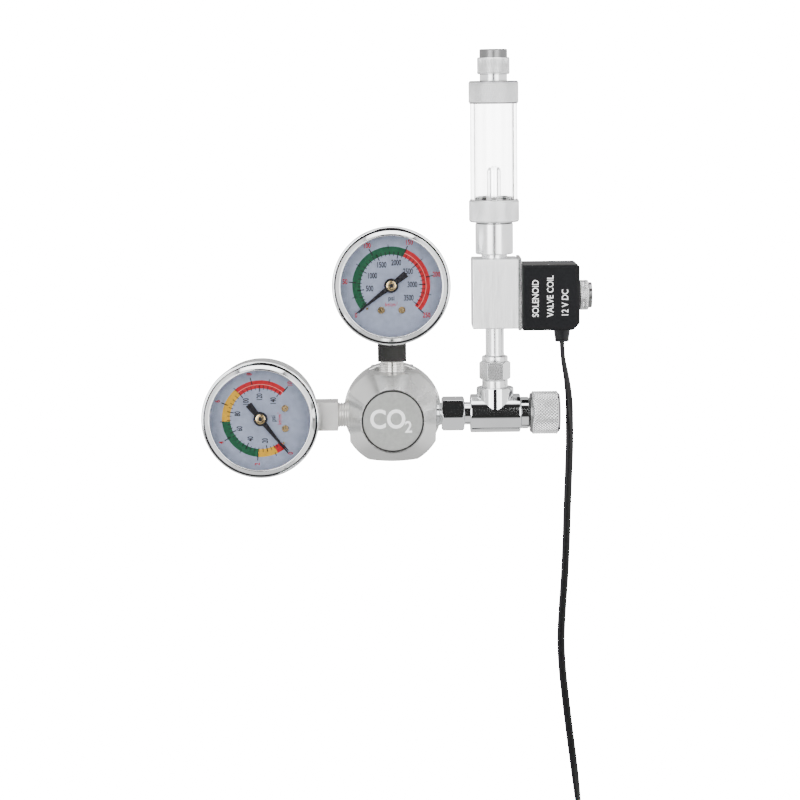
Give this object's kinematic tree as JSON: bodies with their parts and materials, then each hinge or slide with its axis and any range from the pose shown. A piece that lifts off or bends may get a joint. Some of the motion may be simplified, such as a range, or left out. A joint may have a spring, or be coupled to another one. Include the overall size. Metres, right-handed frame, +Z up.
{
  "type": "carbon dioxide regulator",
  "caption": "Gas regulator with a flatted round body, pressure gauges, needle valve, solenoid valve, clear bubble counter and a black lead to a plug.",
  "frame": {"origin": "on the body's axis at the sealing face of the inlet", "axes": "+Y out of the inlet towards the cylinder valve, +Z up, gauges and badge face -Y, outlet towards +X"},
  "size_m": [0.1497, 0.0648, 0.3209],
  "materials": {
    "body_metal": "fine turned, satin",
    "badge_metal": "satin anodised, with a plain white mark",
    "chrome": "polished chrome plating",
    "satin_aluminium": "satin, fine turned",
    "plain_steel": "bright steel",
    "spring_steel": "drawn spring wire",
    "brass": "machined brass",
    "nickel_brass": "nickel-plated brass",
    "sintered_bronze": "sintered bronze, matt",
    "black_rubber": "nitrile rubber",
    "nylon_white": "nylon",
    "gauge_lens": "clear, glossy",
    "dial_face": "matt, printed scales",
    "pointer_black": "matt black",
    "clear_acrylic": "clear acrylic, polished",
    "coil_plastic": "moulded, satin black",
    "copper_winding": "enamelled copper wire",
    "cord_pvc": "soft black PVC"
  },
  "bodies": {
    "root": {"regulator_body": "body_metal", "front_cap": "badge_metal", "high_case": "chrome", "high_bezel": "chrome", "low_case": "chrome", "low_bezel": "chrome", "outlet_adapter": "chrome", "needle_valve_body": "chrome", "packing_nut": "chrome", "riser_fitting": "satin_aluminium", "solenoid_block": "satin_aluminium", "counter_base": "satin_aluminium", "hose_cap": "satin_aluminium", "armature_tube": "plain_steel", "mounting_plate": "plain_steel", "plate_screws": "plain_steel", "inlet_nipple": "plain_steel", "main_spring": "spring_steel", "poppet_spring": "spring_steel", "plunger_spring": "spring_steel", "high_dial_screws": "brass", "low_dial_screws": "brass", "high_bourdon_tube": "brass", "low_bourdon_tube": "brass", "high_movement": "brass", "low_movement": "brass", "relief_plug": "brass", "high_socket": "nickel_brass", "low_socket": "nickel_brass", "inlet_filter": "sintered_bronze", "o_rings": "black_rubber", "seat_insert": "nylon_white", "inlet_washer": "nylon_white", "high_lens": "gauge_lens", "low_lens": "gauge_lens", "high_dial": "dial_face", "low_dial": "dial_face", "counter_tube": "clear_acrylic", "coil_housing": "coil_plastic", "coil_winding": "copper_winding", "cable_boot": "cord_pvc", "cord_lead": "cord_pvc", "cord_coil": "cord_pvc", "dc_plug": "cord_pvc"},
    "inlet_nut": {"inlet_nut": "chrome"},
    "piston": {"piston": "brass", "piston_oring": "black_rubber"},
    "poppet": {"poppet": "plain_steel"},
    "high_pointer": {"high_pointer": "pointer_black"},
    "high_sector": {"high_sector": "brass"},
    "low_pointer": {"low_pointer": "pointer_black"},
    "low_sector": {"low_sector": "brass"},
    "needle": {"needle": "plain_steel"},
    "needle_knob": {"needle_knob": "chrome"},
    "plunger": {"plunger": "plain_steel"},
    "coil_nut": {"coil_nut": "chrome"},
    "lower_collar": {"lower_collar": "satin_aluminium"},
    "upper_collar": {"upper_collar": "satin_aluminium"},
    "hose_nut": {"hose_nut": "satin_aluminium"},
    "check_poppet": {"check_poppet": "plain_steel"}
  },
  "joints": [
    {"name": "inlet_nut_turn", "type": "hinge", "parent": "root", "child": "inlet_nut", "pos_m": [0, 0, 0], "axis": [0, 1, 0], "continuous": true},
    {"name": "piston_travel", "type": "slide", "parent": "root", "child": "piston", "axis": [0, 1, 0], "range_m": [-0.0008, 0], "stiffness_N_per_m": 400, "deforming": ["main_spring"]},
    {"name": "poppet_travel", "type": "slide", "parent": "root", "child": "poppet", "axis": [0, 1, 0], "range_m": [-0.0008, 0], "deforming": ["poppet_spring"]},
    {"name": "high_pointer_turn", "type": "hinge", "parent": "root", "child": "high_pointer", "pos_m": [0, -0.031, 0.0505], "axis": [0, 1, 0], "range_deg": [0, 260], "stiffness_Nm_per_rad": 0.0002},
    {"name": "high_sector_turn", "type": "hinge", "parent": "root", "child": "high_sector", "pos_m": [0.00636, -0.031, 0.04414], "axis": [0, 1, 0], "range_deg": [-52.5, 0]},
    {"name": "low_pointer_turn", "type": "hinge", "parent": "root", "child": "low_pointer", "pos_m": [-0.0505, -0.031, 0], "axis": [0, 1, 0], "range_deg": [0, 260], "stiffness_Nm_per_rad": 0.0002},
    {"name": "low_sector_turn", "type": "hinge", "parent": "root", "child": "low_sector", "pos_m": [-0.04414, -0.031, 0.00636], "axis": [0, 1, 0], "range_deg": [-52.5, 0]},
    {"name": "needle_travel", "type": "slide", "parent": "root", "child": "needle", "axis": [1, 0, 0], "range_m": [0, 0.0015]},
    {"name": "needle_knob_turn", "type": "hinge", "parent": "needle", "child": "needle_knob", "pos_m": [0.0588, -0.031, 0], "axis": [1, 0, 0], "range_deg": [0, 1090]},
    {"name": "plunger_travel", "type": "slide", "parent": "root", "child": "plunger", "axis": [1, 0, 0], "range_m": [0, 0.0011], "stiffness_N_per_m": 300, "deforming": ["plunger_spring"]},
    {"name": "coil_nut_turn", "type": "hinge", "parent": "root", "child": "coil_nut", "pos_m": [0.0743, -0.031, 0.0453], "axis": [1, 0, 0], "continuous": true},
    {"name": "lower_collar_turn", "type": "hinge", "parent": "root", "child": "lower_collar", "pos_m": [0.0395, -0.031, 0.078], "axis": [0, 0, 1], "continuous": true},
    {"name": "upper_collar_turn", "type": "hinge", "parent": "root", "child": "upper_collar", "pos_m": [0.0395, -0.031, 0.123], "axis": [0, 0, 1], "continuous": true},
    {"name": "hose_nut_turn", "type": "hinge", "parent": "root", "child": "hose_nut", "pos_m": [0.0395, -0.031, 0.134], "axis": [0, 0, 1], "continuous": true},
    {"name": "check_poppet_travel", "type": "slide", "parent": "root", "child": "check_poppet", "axis": [0, 0, 1], "range_m": [0, 0.001], "stiffness_N_per_m": 20}
  ],
  "couplings": [
    {"joint": "poppet_travel", "follows": "piston_travel", "ratio": 1},
    {"joint": "high_sector_turn", "follows": "high_pointer_turn", "ratio": -0.2},
    {"joint": "low_sector_turn", "follows": "low_pointer_turn", "ratio": -0.2},
    {"joint": "needle_knob_turn", "follows": "needle_travel", "rad_per_m": 12566}
  ]
}
